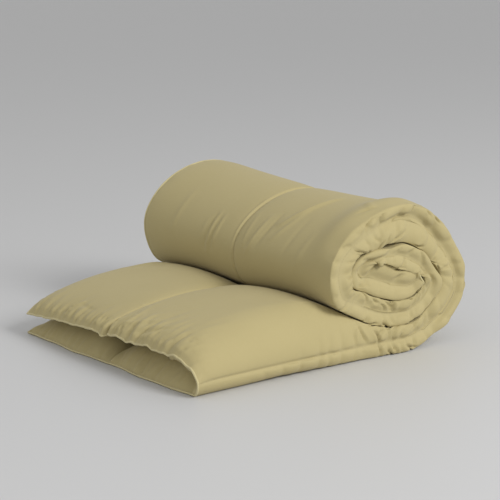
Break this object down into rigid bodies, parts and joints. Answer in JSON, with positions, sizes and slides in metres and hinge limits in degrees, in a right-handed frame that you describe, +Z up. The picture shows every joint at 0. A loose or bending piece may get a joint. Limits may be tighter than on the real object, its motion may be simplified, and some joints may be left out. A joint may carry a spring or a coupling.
{
  "type": "futon mattress",
  "caption": "Thin quilted cotton mattress, folded double down its length and rolled up from one end, with the other end lying flat and open.",
  "frame": {"origin": "centre of the bounding box's base, on the surface the mattress lies on", "axes": "+Z up, +X from the two open long edges towards the fold, +Y from the flat open end towards the roll"},
  "size_m": [0.7172, 0.808, 0.377],
  "materials": {
    "cover_cloth": "matt plain-weave cotton",
    "filling": "loose cotton wadding",
    "piping": "rolled cotton edging",
    "thread": "spun sewing thread"
  },
  "bodies": {
    "root": {"outer_cover_panel": "cover_cloth", "inner_cover_panel": "cover_cloth", "batt_lower_side": "filling", "batt_lower_fold": "filling", "batt_upper_fold": "filling", "batt_upper_side": "filling", "piping_open_end": "piping", "piping_core_end": "piping", "piping_lower_side": "piping", "piping_upper_side": "piping", "needle_thread_lower_seam": "thread", "needle_thread_fold_seam": "thread", "needle_thread_upper_seam": "thread", "bobbin_thread_lower_seam": "thread", "bobbin_thread_fold_seam": "thread", "bobbin_thread_upper_seam": "thread"}
  },
  "joints": []
}
